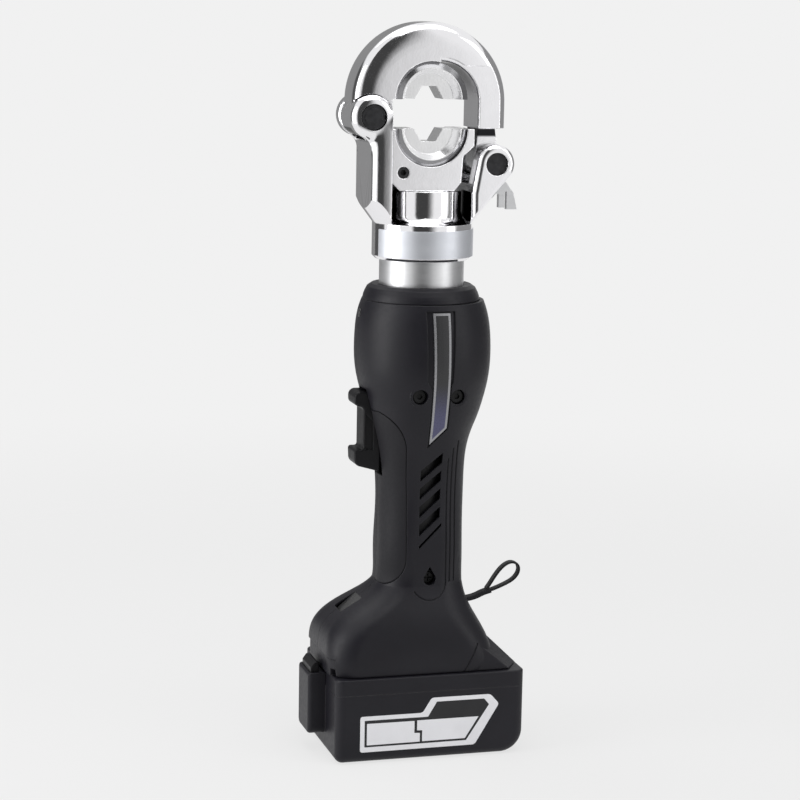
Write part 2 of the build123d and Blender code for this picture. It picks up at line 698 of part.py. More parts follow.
# Yoke: a fork with two hinge arms and two latch ears, grown out of a turned base
cone_top = 345.0
collar_top_z = saddle_low_z - 0.3
yoke_envelope = turned([(0, head_low_z), (head_radius, head_low_z), (head_radius, pocket_floor_z),
                        (head_radius + cone_rise * (cone_top - pocket_floor_z), cone_top),
                        (head_radius + cone_rise * (cone_top - pocket_floor_z), 380), (0, 380)])
pillar_top = (pillar_x, hinge_z - math.sqrt(hinge_lobe**2 - (pillar_x - hinge_x)**2))
lobe_side = hinge_lobe * math.sqrt(0.5)
ear_in = tangent_point((pocket_half, 314), (latch_x, latch_z), latch_lobe, 1)
ear_out = tangent_point((25.5, 299), (latch_x, latch_z), latch_lobe, -1)
with BuildPart() as yoke:
    with BuildSketch(Plane.XZ) as fork:
        with BuildLine():
            Line((pillar_x, 285), pillar_top)
            ThreePointArc(pillar_top, (hinge_x - lobe_side, hinge_z + lobe_side), (-pocket_half, hinge_z))
            Polyline((-pocket_half, hinge_z), (-pocket_half, pocket_floor_z), (pocket_half, pocket_floor_z),
                     (pocket_half, 314), ear_in)
            ThreePointArc(ear_in, (latch_x, latch_z + latch_lobe), ear_out)
            Polyline(ear_out, (25.5, 299), (25.5, 285), (pillar_x, 285))
        make_face()
        fillet(fork.vertices().sort_by_distance((*pillar_top, 0))[0], 8)
    extrude(amount=head_half, both=True)
    side_edges = yoke.faces().filter_by(Axis.Y).edges()
    fillet(side_edges.filter_by(lambda edge: edge.center().X < -20), pillar_edge)
    side_edges = yoke.faces().filter_by(Axis.Y).edges()
    fillet(side_edges.filter_by(lambda edge: edge.center().X > 22 and edge.center().Z > 300), ear_edge)
    add(yoke_envelope.part, mode=Mode.INTERSECT)
    # Turned base and the flared collar that the ram comes out of
    with BuildSketch(Plane.XZ):
        with BuildLine():
            Polyline((0, collar_top_z), (0, head_low_z), (head_radius - base_edge, head_low_z),
                     (head_radius, head_low_z + base_edge), (head_radius, pocket_floor_z),
                     (collar_radius + collar_flare, pocket_floor_z))
            RadiusArc((collar_radius + collar_flare, pocket_floor_z),
                      (collar_radius, pocket_floor_z + collar_flare), collar_flare)
            Polyline((collar_radius, pocket_floor_z + collar_flare), (collar_radius, collar_top_z),
                     (0, collar_top_z))
        make_face()
    revolve(axis=Axis.Z)
    # Slots for the jaw's knuckle and tongue
    add(across(hinge_x, hinge_z, 13.0, -slot_half, slot_half).part, mode=Mode.SUBTRACT)
    add(box(-60, -15, -slot_half, slot_half, hinge_z, 380).part, mode=Mode.SUBTRACT)
    add(box(20, 60, -slot_half, slot_half, 318.5, 380).part, mode=Mode.SUBTRACT)
    # Bores
    add(across(hinge_x, hinge_z, hinge_pin_radius, -30, 30).part, mode=Mode.SUBTRACT)
    for side in (-1, 1):
        add(across(hinge_x, hinge_z, 7.2, *sorted((side * 19.6, side * 30))).part, mode=Mode.SUBTRACT)
    add(across(latch_x, latch_z, latch_pin_radius + running_gap, -30, 30).part, mode=Mode.SUBTRACT)
    add(ring(0, ram_radius + running_gap, head_low_z - 1, 400).part, mode=Mode.SUBTRACT)
    add(ring(0, spigot_radius + running_gap, head_low_z - 1, head_bore_top_z).part, mode=Mode.SUBTRACT)
    add(ring(0, 23.2, 283.8, 287.2).part, mode=Mode.SUBTRACT)
write(yoke, "yoke")

with BuildPart() as head_band:
    with BuildSketch(Plane.XZ.rotated((0, 0, 196))):
        Polygon((head_radius, 279.0), (head_radius + 0.4, 279.0), (head_radius + 0.4, 294.0),
                (head_radius, 294.0))
    revolve(axis=Axis.Z, revolution_arc=270)
write(head_band, "head_band")

hinge_pin = across(hinge_x, hinge_z, hinge_pin_radius, -20.6, 20.6)
write(hinge_pin, "hinge_pin")

with BuildPart() as hinge_clips:
    for side in (-1, 1):
        with BuildSketch(Plane.XZ.offset(side * 19.6)):
            with Locations((hinge_x, hinge_z)):
                Circle(6.6)
                Circle(hinge_pin_radius, mode=Mode.SUBTRACT)
            with Locations((hinge_x + 5.5, hinge_z)):
                Rectangle(4, 2.4, mode=Mode.SUBTRACT)
        extrude(amount=side * 0.8)
write(hinge_clips, "hinge_clips")

# Upper jaw: a thick hook with a knuckle at the hinge and a tongue that the latch pin holds
latch_reach = math.hypot(latch_x - hinge_x, latch_z - hinge_z)
latch_angle = math.degrees(math.atan2(latch_z - hinge_z, latch_x - hinge_x))
seat_radius = die_radius + die_gap
void_x = 4.5
void_radius = leg_x - void_x
void_side = void_radius * math.sqrt(0.5)
seat_side = seat_radius * math.sqrt(0.5)
jaw_tail_x = -math.sqrt(jaw_radius**2 - (jaw_centre_z - hinge_z)**2)
seat_end = (void_x, upper_parting_z + math.sqrt(seat_radius**2 - void_x**2))
with BuildPart() as upper_jaw:
    with BuildSketch(Plane.XZ):
        with BuildLine():
            Line((-22.3, hinge_z), (jaw_tail_x, hinge_z))
            ThreePointArc((jaw_tail_x, hinge_z), (0, jaw_centre_z + jaw_radius), (jaw_radius, jaw_centre_z))
            Polyline((jaw_radius, jaw_centre_z), (jaw_radius, leg_low_z), (leg_x, leg_low_z), (leg_x, 363))
            ThreePointArc((leg_x, 363), (void_x + void_side, 363 + void_side), (void_x, 363 + void_radius))
            Line((void_x, 363 + void_radius), seat_end)
            ThreePointArc(seat_end, (-seat_side, upper_parting_z + seat_side),
                          (-seat_radius, upper_parting_z))
            Polyline((-seat_radius, upper_parting_z), (-22.3, upper_parting_z), (-22.3, hinge_z))
        make_face()
    extrude(amount=jaw_half, both=True)
    arcs = upper_jaw.faces().filter_by(Axis.Y).edges().filter_by(GeomType.CIRCLE)
    fillet(arcs.filter_by(lambda edge: abs(edge.radius - jaw_radius) < 0.01), 8.0)
    arcs = upper_jaw.faces().filter_by(Axis.Y).edges().filter_by(GeomType.CIRCLE)
    fillet(arcs.filter_by(lambda edge: abs(edge.radius - void_radius) < 0.01), 2.4)
    # The leg's faces are milled a little lower than the hook's
    for side in (-1, 1):
        add(box(17, 60, *sorted((side * (jaw_half - 0.7), side * 30)), 300, leg_step_z).part,
            mode=Mode.SUBTRACT)
        add(across(hinge_x, hinge_z, hinge_lobe + 0.5, *sorted((side * knuckle_half, side * 30))).part,
            mode=Mode.SUBTRACT)
    add(across(hinge_x, hinge_z, 11.3, -knuckle_half, knuckle_half).part)
    with BuildSketch(Plane.XZ.offset(-knuckle_half)):
        Polygon((28.2, 352), (37.0, 352), (38.5, 341), (45.3, latch_z), (26.1, latch_z))
        with Locations((latch_x, latch_z)):
            Circle(9.6)
            Circle(latch_pin_radius + 0.3, mode=Mode.SUBTRACT)
        with BuildLine():
            CenterArc((hinge_x, hinge_z), latch_reach, latch_angle - 14, 14)
        trace(line_width=throat_width, mode=Mode.SUBTRACT)
    extrude(amount=2 * knuckle_half)
    add(across(hinge_x, hinge_z, hinge_pin_radius + running_gap, -30, 30).part, mode=Mode.SUBTRACT)
write(upper_jaw, "upper_jaw")

# Latch pin: flats let the tongue pass at rest, and a quarter turn locks it
with BuildPart() as latch_pin:
    add(across(latch_x, latch_z, latch_pin_radius, -19.6, 21.8).part)
    with BuildSketch(Plane.XZ.offset(-slot_half + 0.1)):
        with Locations((latch_x, latch_z)):
            Circle(latch_pin_radius)
            Rectangle(4 * latch_pin_radius, latch_flat, rotation=latch_angle + 90, mode=Mode.SUBTRACT)
    extrude(amount=2 * (slot_half - 0.1), mode=Mode.SUBTRACT)
    add(across(latch_x, latch_z, 4.0, 21.8, 25.0).part)
write(latch_pin, "latch_pin")

# Its lever: a flat hub whose tail ends in two prongs
with BuildPart() as latch_lever:
    with BuildSketch(Plane.XZ.offset(-25.0)):
        with Locations((latch_x, latch_z)):
            Circle(8.6)
        Polygon((42.5, 335.2), (57.5, 313.8), (59.7, 311.2), (60.7, 307.4), (62.0, 301.6), (55.0, 301.6),
                (55.0, 302.6), (51.1, 302.6), (51.1, 310.0), (28.9, 324.8))
        with Locations((55.2, 306.0)):
            Rectangle(1.2, 11.0, mode=Mode.SUBTRACT)
        with Locations((latch_x, latch_z)):
            Circle(4.0, mode=Mode.SUBTRACT)
    extrude(amount=3.1)
write(latch_lever, "latch_lever")

# Wrist strap: a narrow ribbon from the foot's back, through a short sleeve and round a small loop
strap_width = 4.6
strap_thickness = 1.3
strap_route = [(21.5, 80.6), (28.0, 81.0), (35.0, 82.2), (40.5, 84.6), (46.0, 86.0), (52.6, 88.5),
               (58.6, 91.5), (61.7, 96.0), (60.9, 100.4), (56.4, 102.0), (51.6, 99.4), (47.6, 94.6),
               (44.6, 89.8), (42.2, 86.4)]
sleeve_route = [(29.6, 81.3), (35.0, 82.2), (40.5, 84.6), (44.6, 85.65)]


def corner_radii(route):
    """The radius at each inner point: 0.45 of the shorter run over the tangent of half the turn."""
    radii = []
    for before, at, after in zip(route, route[1:], route[2:]):
        into = Vector(at[0] - before[0], at[1] - before[1])
        out = Vector(after[0] - at[0], after[1] - at[1])
        half_turn = math.radians(into.get_angle(out) / 2)
        radii.append(0.45 * min(into.length, out.length) / math.tan(half_turn))
    return radii


strap_radii = corner_radii(strap_route)
print("strap radii", [round(radius, 1) for radius in strap_radii])
with BuildPart() as wrist_strap:
    with BuildLine(Plane.XZ) as strap_line:
        FilletPolyline(*strap_route, radius=strap_radii)
    strap_path = strap_line.wire()
    with BuildSketch(Plane(origin=strap_path @ 0, x_dir=(0, 1, 0), z_dir=strap_path % 0)):
        Rectangle(strap_width, strap_thickness)
    sweep(path=strap_path)
print("strap length", round(strap_path.length, 1))
write(wrist_strap, "wrist_strap")

with BuildPart() as strap_ferrule:
    with BuildLine(Plane.XZ) as sleeve_line:
        FilletPolyline(*sleeve_route, radius=corner_radii(sleeve_route))
    sleeve_path = sleeve_line.wire()
    with BuildSketch(Plane(origin=sleeve_path @ 0, x_dir=(0, 1, 0), z_dir=sleeve_path % 0)):
        RectangleRounded(strap_width + 1.0, 2.8, 0.9)
    sweep(path=sleeve_path)
    add(wrist_strap.part, mode=Mode.SUBTRACT)
write(strap_ferrule, "strap_ferrule")

# Battery
battery_front = -battery_length / 2
battery_half = battery_width / 2


def battery_block(inset, low, high):
    """The battery's outer block, with a large radius under its rear end and a small one under its front."""
    end = battery_length / 2 - inset
    rear = battery_rear_radius - inset
    front = battery_front_radius - inset
    with BuildPart() as piece:
        with BuildSketch(Plane.XZ):
            with BuildLine():
                Polyline((-end, low + front), (-end, high), (end, high), (end, low + rear))
                RadiusArc((end, low + rear), (end - rear, low), rear)
                Line((end - rear, low), (-end + front, low))
                RadiusArc((-end + front, low), (-end, low + front), front)
            make_face()
        extrude(amount=battery_half - inset, both=True)
    return piece


screw_spots = [(-50.2, -26), (-50.2, 26), (50.2, -26), (50.2, 26)]
# The block on the front that carries the release button, and the button's well
with BuildPart() as panel:
    with BuildSketch(Plane.YZ.offset(battery_front)):
        with Locations((0, (panel_low_z + panel_high_z) / 2)):
            Rectangle(2 * panel_half, panel_high_z - panel_low_z)
    extrude(amount=-panel_depth)
    fillet(panel.edges().filter_by(Axis.X).group_by(Axis.Z)[0], 4.0)
    fillet(panel.faces().sort_by(Axis.X)[0].edges(), 2.0)
    with BuildSketch(Plane.YZ.offset(battery_front)):
        with Locations((0, battery_split_z - 8)):
            Rectangle(2 * panel_half, 16)
    extrude(amount=battery_wall)
button_front = battery_front - panel_depth + 1.8
button_rear = battery_front - 3.7
button_well = box(button_front - 0.2, button_rear + 0.2, -10.2, 10.2, 30, 60)

with BuildPart() as screw_posts:
    with BuildSketch():
        with Locations(*screw_spots):
            Circle(2.9)
    extrude(amount=battery_split_z)
    add(battery_block(battery_wall / 2, battery_wall / 2, battery_split_z).part, mode=Mode.INTERSECT)

with BuildPart() as battery_base:
    add(battery_block(0, 0, battery_split_z).part)
    upright = battery_base.edges().filter_by(Axis.Z)
    fillet(upright, 5.0)
    add(battery_block(battery_wall, battery_wall, battery_split_z + 1).part, mode=Mode.SUBTRACT)
    add(panel.part)
    add(screw_posts.part)
    with BuildSketch(Plane.XY.offset(0)):
        with Locations(*screw_spots):
            Circle(1.2)
    extrude(amount=battery_split_z, mode=Mode.SUBTRACT)
    with BuildSketch(Plane.XY.offset(0)):
        with Locations(*screw_spots):
            Circle(2.3)
    extrude(amount=12, mode=Mode.SUBTRACT)
    add(button_well.part, mode=Mode.SUBTRACT)
write(battery_base, "battery_base")


def deck_plate(half, low, high):
    """One layer of the battery's deck, whose front follows the foot's front wall."""
    front, back, side, corner = foot_sections[0][1:]
    with BuildPart() as piece:
        with BuildSketch(Plane.XY.offset(low)):
            with Locations(((front + back) / 2, 0)):
                RectangleRounded(back - front - 2 * deck_inset, 2 * (side - deck_inset), corner - deck_inset)
            with Locations(((front + deck_rear_x) / 2, 0)):
                Rectangle(deck_rear_x - front, 2 * half, mode=Mode.INTERSECT)
        extrude(amount=high - low)
    return piece


with BuildPart() as battery_cover:
    with BuildSketch(Plane.XY.offset(battery_split_z)):
        RectangleRounded(battery_length, battery_width, 5)
    extrude(amount=battery_rim_z - battery_split_z)
    with BuildSketch(Plane.XY.offset(battery_split_z)):
        RectangleRounded(battery_length - 2 * battery_wall, battery_width - 2 * battery_wall, 2.5)
    extrude(amount=6.5, mode=Mode.SUBTRACT)
    fillet(battery_cover.faces().sort_by(Axis.Z)[-1].edges(), 1.0)
    add(deck_plate(deck_stem_half, battery_rim_z, deck_step_z).part)
    add(deck_plate(deck_half, deck_step_z, deck_top_z).part)
    for y in blade_spots:
        add(box(3, 40, y - 2.2, y + 2.2, 49.4, 60).part, mode=Mode.SUBTRACT)
    with BuildSketch(Plane.XY.offset(battery_split_z)):
        with Locations(*screw_spots):
            Circle(2.9)
    extrude(amount=6.5)
    with BuildSketch(Plane.XY.offset(battery_split_z)):
        with Locations(*screw_spots):
            Circle(1.2)
    extrude(amount=5, mode=Mode.SUBTRACT)
write(battery_cover, "battery_cover")

cell_columns = [cell_pitch * column for column in (-2, -1, 0, 1, 2)]
cell_rows = (13.2, 31.6)
with BuildPart() as battery_cells:
    for z in cell_rows:
        for x in cell_columns:
            add(across(x, z, cell_radius, -cell_length / 2, cell_length / 2).part)
write(battery_cells, "battery_cells")

with BuildPart() as cell_holders:
    for side in (-1, 1):
        add(box(-47.0, 47.0, *sorted((side * 27.5, side * 30.5)), 2.7, 41.0).part)
    add(battery_block(battery_wall + 0.2, battery_wall + 0.2, 45).part, mode=Mode.INTERSECT)
    for z in cell_rows:
        for x in cell_columns:
            add(across(x, z, cell_radius, -40, 40).part, mode=Mode.SUBTRACT)
write(cell_holders, "cell_holders")

battery_board = box(-36, 36, -24, 24, 41.2, 42.8)
write(battery_board, "battery_board")

with BuildPart() as battery_contacts:
    for y in blade_spots:
        for side in (-1, 1):
            add(box(5, 19, *sorted((y + side * 0.75, y + side * 1.35)), 49.4, 55.5).part)
write(battery_contacts, "battery_contacts")

with BuildPart() as battery_screws:
    with BuildSketch(Plane.XY.offset(9.6)):
        with Locations(*screw_spots):
            Circle(2.3)
    extrude(amount=2.4)
    with BuildSketch(Plane.XY.offset(12)):
        with Locations(*screw_spots):
            Circle(1.2)
    extrude(amount=31)
write(battery_screws, "battery_screws")

# The release button slides in the well, and its front leans back above the block
with BuildPart() as battery_button:
    with BuildSketch(Plane.XZ):
        Polygon((button_front, 38.5), (button_rear, 38.5), (button_rear, 52.0), (button_front + 2.4, 52.0),
                (button_front, 48.6))
    extrude(amount=10.0, both=True)
    fillet(battery_button.faces().sort_by(Axis.Z)[-1].edges(), 1.2)
write(battery_button, "battery_button")

spring_x = (button_front + button_rear) / 2
button_spring = spring(spring_x, 30.1, 38.4, 1.2, 0.5, 6)
write(button_spring, "button_spring")
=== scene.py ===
import math
import bmesh
import bpy
from mathutils import Matrix, Vector


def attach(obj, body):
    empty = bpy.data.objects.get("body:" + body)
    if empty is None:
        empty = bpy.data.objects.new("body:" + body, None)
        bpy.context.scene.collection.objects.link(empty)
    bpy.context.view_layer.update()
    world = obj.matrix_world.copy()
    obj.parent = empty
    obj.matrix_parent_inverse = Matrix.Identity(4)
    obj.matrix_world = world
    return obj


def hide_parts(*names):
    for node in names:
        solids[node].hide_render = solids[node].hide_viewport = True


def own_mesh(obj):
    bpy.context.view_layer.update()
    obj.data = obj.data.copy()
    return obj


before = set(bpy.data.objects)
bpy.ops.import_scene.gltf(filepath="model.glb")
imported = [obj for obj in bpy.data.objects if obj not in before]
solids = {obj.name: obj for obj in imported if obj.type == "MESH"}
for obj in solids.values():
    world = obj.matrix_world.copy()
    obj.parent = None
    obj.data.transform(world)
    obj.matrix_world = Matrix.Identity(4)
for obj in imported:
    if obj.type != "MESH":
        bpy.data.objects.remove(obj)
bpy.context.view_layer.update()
print("frame loaded with", len(solids), "solids")

# camera, at the photograph's place
cameraSetup = {
    "place": (-0.3611, -1.2342, 0.415),
    "turn": -16.31,  # degrees about the upright axis
    "dip": 10.22,  # degrees below the horizon
    "roll": 1.13,
    "lens": 104.9,  # millimetres, on a sensor of this width
    "sensor": 36,
    "shift": (-0.023, 0.0308),
    "clip": (0.05, 80),  # metres
}


def linkUp(name, data):
    thing = bpy.data.objects.new(name, data)
    bpy.context.scene.collection.objects.link(thing)
    return thing


def makeCamera(setup):
    lens = bpy.data.cameras.new("photoCamera")
    lens.lens = setup["lens"]
    lens.sensor_width = setup["sensor"]
    lens.shift_x, lens.shift_y = setup["shift"]
    lens.clip_start, lens.clip_end = setup["clip"]
    camera = linkUp("photoCamera", lens)
    turn = Matrix.Rotation(math.radians(setup["turn"]), 4, "Z")
    dip = Matrix.Rotation(math.radians(90 - setup["dip"]), 4, "X")
    roll = Matrix.Rotation(math.radians(setup["roll"]), 4, "Z")
    camera.matrix_world = Matrix.Translation(setup["place"]) @ turn @ dip @ roll
    bpy.context.scene.camera = camera


makeCamera(cameraSetup)
print("camera set")


# small helpers for node trees
def addNode(tree, kind, **settings):
    node = tree.nodes.new(kind)
    for name, value in settings.items():
        setattr(node, name, value)
    return node


def setIn(node, **values):
    for name, value in values.items():
        node.inputs[name].default_value = value


def wire(tree, source, target):
    tree.links.new(source, target)


def feed(tree, value, socket):  # a plain number is set on the socket, anything else is wired to it
    if isinstance(value, (int, float)):
        socket.default_value = value
    else:
        wire(tree, value, socket)


def mathNode(tree, kind, *values, clamp=False):
    node = addNode(tree, "ShaderNodeMath", operation=kind, use_clamp=clamp)
    for slot, value in enumerate(values):
        feed(tree, value, node.inputs[slot])
    return node.outputs[0]


def product(tree, *values):
    total = values[0]
    for value in values[1:]:
        total = mathNode(tree, "MULTIPLY", total, value)
    return total


def remap(tree, value, low, high, toLow, toHigh, smooth=False):
    node = addNode(tree, "ShaderNodeMapRange")
    if smooth:
        node.interpolation_type = "SMOOTHSTEP"
    wire(tree, value, node.inputs[0])
    for slot, number in enumerate((low, high, toLow, toHigh), start=1):
        node.inputs[slot].default_value = number
    return node.outputs[0]


def blendColours(tree, factor, first, second):
    node = addNode(tree, "ShaderNodeMix", data_type="RGBA")
    wire(tree, factor, node.inputs[0])
    for slot, colour in ((6, first), (7, second)):
        if isinstance(colour, tuple):
            node.inputs[slot].default_value = (*colour, 1)
        else:
            wire(tree, colour, node.inputs[slot])
    return node.outputs[2]


def noise(tree, place, scale, detail):
    node = addNode(tree, "ShaderNodeTexNoise")
    setIn(node, Scale=scale, Detail=detail, Roughness=0.55)
    wire(tree, place, node.inputs["Vector"])
    return node.outputs[0]


def addRelief(tree, height, distance, normal=None):
    node = addNode(tree, "ShaderNodeBump")
    setIn(node, Strength=1.0, Distance=distance)
    wire(tree, height, node.inputs["Height"])
    if normal is not None:
        wire(tree, normal, node.inputs["Normal"])
    return node.outputs[0]


def placeOf(tree, stretch=None):
    coordinates = addNode(tree, "ShaderNodeTexCoord")
    if stretch is None:
        return coordinates.outputs["Object"]
    mapping = addNode(tree, "ShaderNodeMapping")
    setIn(mapping, Scale=stretch)
    wire(tree, coordinates.outputs["Object"], mapping.inputs["Vector"])
    return mapping.outputs[0]


def startFinish(name, look):
    finish = bpy.data.materials.new(name)
    finish.use_nodes = True
    tree = finish.node_tree
    shader = tree.nodes["Principled BSDF"]
    shader.inputs["Metallic"].default_value = look.get("metal", 0.0)
    shader.inputs["Specular IOR Level"].default_value = look.get("gloss", 0.5)
    shader.inputs["Coat Weight"].default_value = look.get("coat", 0.0)
    shader.inputs["Coat Roughness"].default_value = look.get("coatRough", 0.1)
    shader.inputs["Sheen Weight"].default_value = look.get("sheen", 0.0)
    return finish, tree, shader


def softEdges(tree, radius):
    bevel = addNode(tree, "ShaderNodeBevel", samples=6)
    setIn(bevel, Radius=radius)
    shape = addNode(tree, "ShaderNodeNewGeometry")
    meet = addNode(tree, "ShaderNodeVectorMath", operation="DOT_PRODUCT")
    wire(tree, bevel.outputs[0], meet.inputs[0])
    wire(tree, shape.outputs["Normal"], meet.inputs[1])
    edge = remap(tree, meet.outputs["Value"], 0.86, 0.995, 1.0, 0.0, smooth=True)  # 1 where a face bends
    return bevel.outputs[0], edge


def turnVector(tree, kind, vector, source, target):
    node = addNode(tree, "ShaderNodeVectorTransform", vector_type=kind)
    node.convert_from, node.convert_to = source, target
    wire(tree, vector, node.inputs[0])
    return node.outputs[0]


def splitVector(tree, vector):
    node = addNode(tree, "ShaderNodeSeparateXYZ")
    wire(tree, vector, node.inputs[0])
    return node.outputs


def joinVector(tree, *parts):
    node = addNode(tree, "ShaderNodeCombineXYZ")
    for slot, part in enumerate(parts):
        feed(tree, part, node.inputs[slot])
    return node.outputs[0]


def mixVectors(tree, factor, first, second):
    node = addNode(tree, "ShaderNodeMix", data_type="VECTOR")
    wire(tree, factor, node.inputs[0])
    wire(tree, first, node.inputs[4])
    wire(tree, second, node.inputs[5])
    return node.outputs[1]


# depth inside an outline seen from the front, and the way out of it: an upright line or a circle,
# whose sides may run straight down from its middle
def outlineEdge(tree, edge, across, upward):
    if "line" in edge:
        depth = mathNode(tree, "MINIMUM", mathNode(tree, "SUBTRACT", across, edge["line"]),
                         mathNode(tree, "SUBTRACT", edge["top"], upward))
        return depth, joinVector(tree, -1.0, 0.0, 0.0)
    sideways = mathNode(tree, "SUBTRACT", across, edge["centre"][0])
    lifted = mathNode(tree, "SUBTRACT", upward, edge["centre"][1])
    if edge.get("straight"):
        lifted = mathNode(tree, "MAXIMUM", lifted, 0.0)
    squares = mathNode(tree, "ADD", product(tree, sideways, sideways), product(tree, lifted, lifted))
    reach = mathNode(tree, "SQRT", squares)
    outX, outZ = (mathNode(tree, "DIVIDE", part, reach) for part in (sideways, lifted))
    return mathNode(tree, "SUBTRACT", edge["radius"], reach), joinVector(tree, outX, 0.0, outZ)


def roundDepth(tree, centre, radius):
    across, _, upward = splitVector(tree, placeOf(tree))
    return outlineEdge(tree, {"centre": centre, "radius": radius}, across, upward)[0]


def leanRamp(tree, depth, profile, width):
    ramp = addNode(tree, "ShaderNodeValToRGB")
    stops = ramp.color_ramp.elements
    for number, (place, lean) in enumerate(profile):
        spot = place / 1000 / width
        stop = stops[number] if number < 2 else stops.new(spot)
        stop.position = spot
        stop.color = (lean / 90, lean / 90, lean / 90, 1)
    wire(tree, mathNode(tree, "DIVIDE", depth, width), ramp.inputs[0])
    return product(tree, ramp.outputs[0], math.pi / 2)


# a crown rounds a face off toward its outline: the profile gives the lean in degrees at each depth in
# millimetres, and above, leftOf and cone keep it to the part of the piece that has it
def addCrown(tree, normal, crown):
    across, _, upward = splitVector(tree, placeOf(tree))
    depth, outward = None, None
    for edge in crown["edges"]:
        nextDepth, nextOutward = outlineEdge(tree, edge, across, upward)
        if depth is None:
            depth, outward = nextDepth, nextOutward
            continue
        ahead = mathNode(tree, "SUBTRACT", nextDepth, depth)
        share = remap(tree, ahead, -0.004, 0.004, 0.0, 1.0, smooth=True)
        outward = mixVectors(tree, share, outward, nextOutward)
        depth = mathNode(tree, "SMOOTH_MAX", depth, nextDepth)
        depth.node.inputs[2].default_value = crown["join"]
    width = crown["profile"][-1][0] / 1000
    lean = leanRamp(tree, depth, crown["profile"], width)
    ownX, ownY, ownZ = splitVector(tree, turnVector(tree, "NORMAL", normal, "WORLD", "OBJECT"))
    outX, _, outZ = splitVector(tree, outward)
    sine = mathNode(tree, "SINE", lean)
    facing = product(tree, mathNode(tree, "SIGN", ownY), mathNode(tree, "COSINE", lean))
    crowned = joinVector(tree, product(tree, outX, sine), facing, product(tree, outZ, sine))
    along = mathNode(tree, "ADD", product(tree, ownX, outX), product(tree, ownZ, outZ))
    onFace = mathNode(tree, "ADD", mathNode(tree, "ABSOLUTE", ownY), mathNode(tree, "MAXIMUM", along, 0.0))
    share = product(
        tree,
        remap(tree, onFace, 0.3, 0.6, 0.0, 1.0, smooth=True),
        remap(tree, depth, width * 0.92, width, 1.0, 0.0, smooth=True),
        remap(tree, upward, *crown["above"], 0.0, 1.0, smooth=True),
        remap(tree, across, *crown["leftOf"], 1.0, 0.0, smooth=True),
    )
    if "cone" in crown:  # faces that look down stay as they are below this height
        level = remap(tree, ownZ, -0.5, -0.25, 0.0, 1.0, smooth=True)
        clear = remap(tree, upward, *crown["cone"], 0.0, 1.0, smooth=True)
        share = product(tree, share, mathNode(tree, "MAXIMUM", level, clear))
    mixed = mixVectors(tree, share, joinVector(tree, ownX, ownY, ownZ), crowned)
    even = addNode(tree, "ShaderNodeVectorMath", operation="NORMALIZE")
    wire(tree, turnVector(tree, "VECTOR", mixed, "OBJECT", "WORLD"), even.inputs[0])
    return even.outputs[0]


# painted shade: narrow gaps found by ambient occlusion are turned toward a dark tone
def paintGapShade(tree, colour, reach, tone):
    nearby = addNode(tree, "ShaderNodeAmbientOcclusion", samples=6)
    setIn(nearby, Distance=reach)
    gapShadeAmount = remap(tree, nearby.outputs["AO"], 0.12, 0.5, 1.0, 0.0, smooth=True)
    return blendColours(tree, gapShadeAmount, colour, tone)


# one general finish: two tones in soft patches, varied gloss, fine relief and rubbed edges;
# painted shade and dark reflection can darken a band of heights, a round hollow, a ring and the narrow gaps
def makeFinish(name, look, groove=None):
    finish, tree, shader = startFinish(name, look)
    place = placeOf(tree, look.get("stretch"))
    patches = noise(tree, place, look["patch"], 4.0)
    patches = remap(tree, patches, 0.3, 0.7, 0.0, 1.0)
    colour = blendColours(tree, patches, *look["tones"])
    gloss = noise(tree, place, look.get("roughScale", look["patch"] * 3), 5.0)
    rough = remap(tree, gloss, 0.25, 0.75, *look["rough"])
    normal, edge = softEdges(tree, look.get("edge", 0.0005))
    if "wear" in look:
        tone, amount = look["wear"]
        rubbed = product(tree, edge, remap(tree, gloss, 0.35, 0.65, 0.2 * amount, amount))
        colour = blendColours(tree, rubbed, colour, tone)
    # painted shade: a band of heights turned toward a dark tone
    if "shade" in look:
        heights, tone = look["shade"]
        upward = splitVector(tree, placeOf(tree))[2]
        below = remap(tree, upward, *heights[:2], 0.0, 1.0, smooth=True)
        above = remap(tree, upward, *heights[2:], 1.0, 0.0, smooth=True)
        colour = blendColours(tree, product(tree, below, above), colour, tone)
    # painted shade inside a round hollow
    if "pocket" in look:
        centre, radius, tone = look["pocket"]
        inside = remap(tree, roundDepth(tree, centre, radius), 0.0, 0.0002, 0.0, 1.0)
        colour = blendColours(tree, inside, colour, tone)
    # painted dark reflection on a ring at a circle's edge
    if "rim" in look:
        centre, radius, width, tone = look["rim"]
        rimShadeAmount = remap(tree, roundDepth(tree, centre, radius), width - 0.0003, width, 1.0, 0.0, smooth=True)
        colour = blendColours(tree, rimShadeAmount, colour, tone)
    # painted shade in narrow gaps, found by ambient occlusion
    if "gapShade" in look:
        colour = paintGapShade(tree, colour, *look["gapShade"])
    if "crown" in look:
        normal = addCrown(tree, normal, look["crown"])
    for scale, depth in look.get("relief", ()):
        normal = addRelief(tree, noise(tree, place, scale, 4.0), depth, normal)
    if groove is not None:
        normal = addRelief(tree, groove(tree), seam["depth"], normal)
    wire(tree, colour, shader.inputs["Base Color"])
    wire(tree, rough, shader.inputs["Roughness"])
    wire(tree, normal, shader.inputs["Normal"])
    return finish


def dress(finish, *names):
    for name in names:
        skin = solids[name].data.materials
        skin.clear()
        skin.append(finish)


